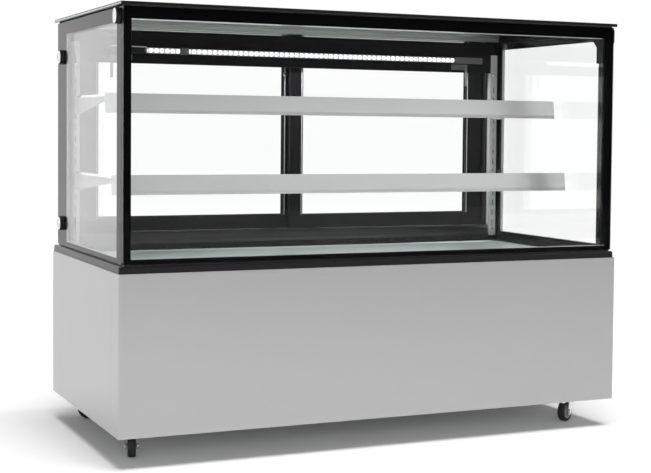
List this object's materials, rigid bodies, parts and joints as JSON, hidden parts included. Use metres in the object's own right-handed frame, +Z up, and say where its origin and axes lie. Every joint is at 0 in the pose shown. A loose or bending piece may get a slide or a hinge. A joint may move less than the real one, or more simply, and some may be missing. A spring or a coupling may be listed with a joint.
{
  "type": "refrigerated display counter",
  "caption": "Square glass refrigerated display counter on a stainless base with casters, lit glass shelves with front rails, a cold well and sliding rear doors.",
  "frame": {"origin": "on the floor under the middle of the counter", "axes": "+X along the front to the customer's right, the glass front faces -Y, +Z up"},
  "size_m": [1.5, 0.74, 1.19],
  "materials": {
    "brushed_stainless": "brushed",
    "galvanised_sheet": "matte",
    "deck_stainless": "brushed",
    "frame_paint": "satin",
    "black_trim": "satin",
    "black_aluminium": "satin anodised",
    "bare_aluminium": "satin",
    "clear_glass": "polished",
    "black_glass": "polished",
    "black_print": "gloss",
    "spacer_bar": "satin",
    "seal_rubber": "matte",
    "bright_metal": "polished",
    "screw_steel": "bright zinc",
    "tub_liner": "satin",
    "black_steel": "satin",
    "light_tube": "frosted",
    "holder_grey": "satin",
    "rack_paint": "satin",
    "coil_aluminium": "satin",
    "compressor_paint": "satin",
    "copper_pipe": "satin",
    "tray_plastic": "matte",
    "box_plastic": "matte",
    "control_black": "satin",
    "switch_green": "gloss",
    "switch_black": "gloss",
    "button_grey": "satin",
    "fan_plastic": "satin",
    "zinc_steel": "bright zinc",
    "tyre_black": "matte"
  },
  "bodies": {
    "counter": {"base_front_panel": "brushed_stainless", "base_side_panels": "brushed_stainless", "base_floor_plate": "galvanised_sheet", "chassis_frame": "frame_paint", "rear_service_panel": "brushed_stainless", "fixing_screws": "screw_steel", "plinth_trim": "black_trim", "display_deck": "deck_stainless", "insulated_well": "tub_liner", "front_glass": "clear_glass", "side_glass": "clear_glass", "glass_spacers": "spacer_bar", "glass_borders": "black_print", "lid_glass": "black_glass", "lid_seal": "seal_rubber", "glass_corner_brackets": "black_steel", "glass_fixing_caps": "bright_metal", "lower_door_track": "black_trim", "upper_door_track": "bare_aluminium", "rear_jambs": "black_trim", "light_fascia": "black_steel", "led_tubes": "light_tube", "lamp_holders": "holder_grey", "shelf_uprights": "rack_paint", "shelf_brackets": "rack_paint", "shelf_glass": "clear_glass", "shelf_rails": "bare_aluminium", "evaporator_coil": "coil_aluminium", "condenser_coil": "coil_aluminium", "compressor": "compressor_paint", "refrigerant_pipes": "copper_pipe", "condensate_tray": "tray_plastic", "electrical_box": "box_plastic", "control_housings": "control_black", "caster_plates": "zinc_steel"},
    "left_door": {"left_door_frame": "black_aluminium", "left_door_glass": "clear_glass", "left_door_fittings": "black_trim"},
    "right_door": {"right_door_frame": "black_aluminium", "right_door_glass": "clear_glass", "right_door_fittings": "black_trim"},
    "caster_fork_front_left": {"caster_fork_front_left": "zinc_steel"},
    "caster_wheel_front_left": {"caster_wheel_front_left": "tyre_black"},
    "brake_pedal_front_left": {"brake_pedal_front_left": "control_black"},
    "caster_fork_front_right": {"caster_fork_front_right": "zinc_steel"},
    "caster_wheel_front_right": {"caster_wheel_front_right": "tyre_black"},
    "brake_pedal_front_right": {"brake_pedal_front_right": "control_black"},
    "caster_fork_rear_left": {"caster_fork_rear_left": "zinc_steel"},
    "caster_wheel_rear_left": {"caster_wheel_rear_left": "tyre_black"},
    "caster_fork_rear_right": {"caster_fork_rear_right": "zinc_steel"},
    "caster_wheel_rear_right": {"caster_wheel_rear_right": "tyre_black"},
    "power_switch": {"power_switch": "switch_green"},
    "light_switch": {"light_switch": "switch_black"},
    "up_button": {"up_button": "button_grey"},
    "set_button": {"set_button": "button_grey"},
    "down_button": {"down_button": "button_grey"},
    "condenser_fan": {"condenser_fan": "fan_plastic"},
    "evaporator_fan_left": {"evaporator_fan_left": "fan_plastic"},
    "evaporator_fan_right": {"evaporator_fan_right": "fan_plastic"}
  },
  "joints": [
    {"name": "left_door_slide", "type": "slide", "parent": "counter", "child": "left_door", "axis": [1, 0, 0], "range_m": [0, 0.62]},
    {"name": "right_door_slide", "type": "slide", "parent": "counter", "child": "right_door", "axis": [-1, 0, 0], "range_m": [0, 0.62]},
    {"name": "front_left_swivel", "type": "hinge", "parent": "counter", "child": "caster_fork_front_left", "pos_m": [-0.68, -0.243, 0.079], "axis": [0, 0, 1], "continuous": true},
    {"name": "front_left_roll", "type": "hinge", "parent": "caster_fork_front_left", "child": "caster_wheel_front_left", "pos_m": [-0.67339, -0.21993, 0.03], "axis": [0.9613, -0.2756, 0], "continuous": true},
    {"name": "front_left_brake", "type": "hinge", "parent": "caster_fork_front_left", "child": "brake_pedal_front_left", "pos_m": [-0.67669, -0.23147, 0.062], "axis": [0.9613, -0.2756, 0], "range_deg": [0, 12]},
    {"name": "front_right_swivel", "type": "hinge", "parent": "counter", "child": "caster_fork_front_right", "pos_m": [0.68, -0.243, 0.079], "axis": [0, 0, 1], "continuous": true},
    {"name": "front_right_roll", "type": "hinge", "parent": "caster_fork_front_right", "child": "caster_wheel_front_right", "pos_m": [0.65901, -0.25464, 0.03], "axis": [-0.4848, 0.8746, 0], "continuous": true},
    {"name": "front_right_brake", "type": "hinge", "parent": "caster_fork_front_right", "child": "brake_pedal_front_right", "pos_m": [0.66951, -0.24882, 0.062], "axis": [-0.4848, 0.8746, 0], "range_deg": [0, 12]},
    {"name": "rear_left_swivel", "type": "hinge", "parent": "counter", "child": "caster_fork_rear_left", "pos_m": [-0.68, 0.316, 0.079], "axis": [0, 0, 1], "continuous": true},
    {"name": "rear_left_roll", "type": "hinge", "parent": "caster_fork_rear_left", "child": "caster_wheel_rear_left", "pos_m": [-0.65609, 0.31809, 0.03], "axis": [0.0872, -0.9962, 0], "continuous": true},
    {"name": "rear_right_swivel", "type": "hinge", "parent": "counter", "child": "caster_fork_rear_right", "pos_m": [0.68, 0.316, 0.079], "axis": [0, 0, 1], "continuous": true},
    {"name": "rear_right_roll", "type": "hinge", "parent": "caster_fork_rear_right", "child": "caster_wheel_rear_right", "pos_m": [0.66161, 0.33143, 0.03], "axis": [0.6428, 0.766, 0], "continuous": true},
    {"name": "power_switch_rock", "type": "hinge", "parent": "counter", "child": "power_switch", "pos_m": [0.44, 0.3565, 0.44], "axis": [1, 0, 0], "range_deg": [-20, 0]},
    {"name": "light_switch_rock", "type": "hinge", "parent": "counter", "child": "light_switch", "pos_m": [0.4, 0.3565, 0.44], "axis": [1, 0, 0], "range_deg": [-20, 0]},
    {"name": "up_button_press", "type": "slide", "parent": "counter", "child": "up_button", "axis": [0, -1, 0], "range_m": [0, 0.0012], "stiffness_N_per_m": 400},
    {"name": "set_button_press", "type": "slide", "parent": "counter", "child": "set_button", "axis": [0, -1, 0], "range_m": [0, 0.0012], "stiffness_N_per_m": 400},
    {"name": "down_button_press", "type": "slide", "parent": "counter", "child": "down_button", "axis": [0, -1, 0], "range_m": [0, 0.0012], "stiffness_N_per_m": 400},
    {"name": "condenser_fan_spin", "type": "hinge", "parent": "counter", "child": "condenser_fan", "pos_m": [0.25, 0.227, 0.184], "axis": [0, 1, 0], "continuous": true},
    {"name": "evaporator_fan_left_spin", "type": "hinge", "parent": "counter", "child": "evaporator_fan_left", "pos_m": [-0.15, -0.08, 0.42], "axis": [0, 1, 0], "continuous": true},
    {"name": "evaporator_fan_right_spin", "type": "hinge", "parent": "counter", "child": "evaporator_fan_right", "pos_m": [0.15, -0.08, 0.42], "axis": [0, 1, 0], "continuous": true}
  ]
}
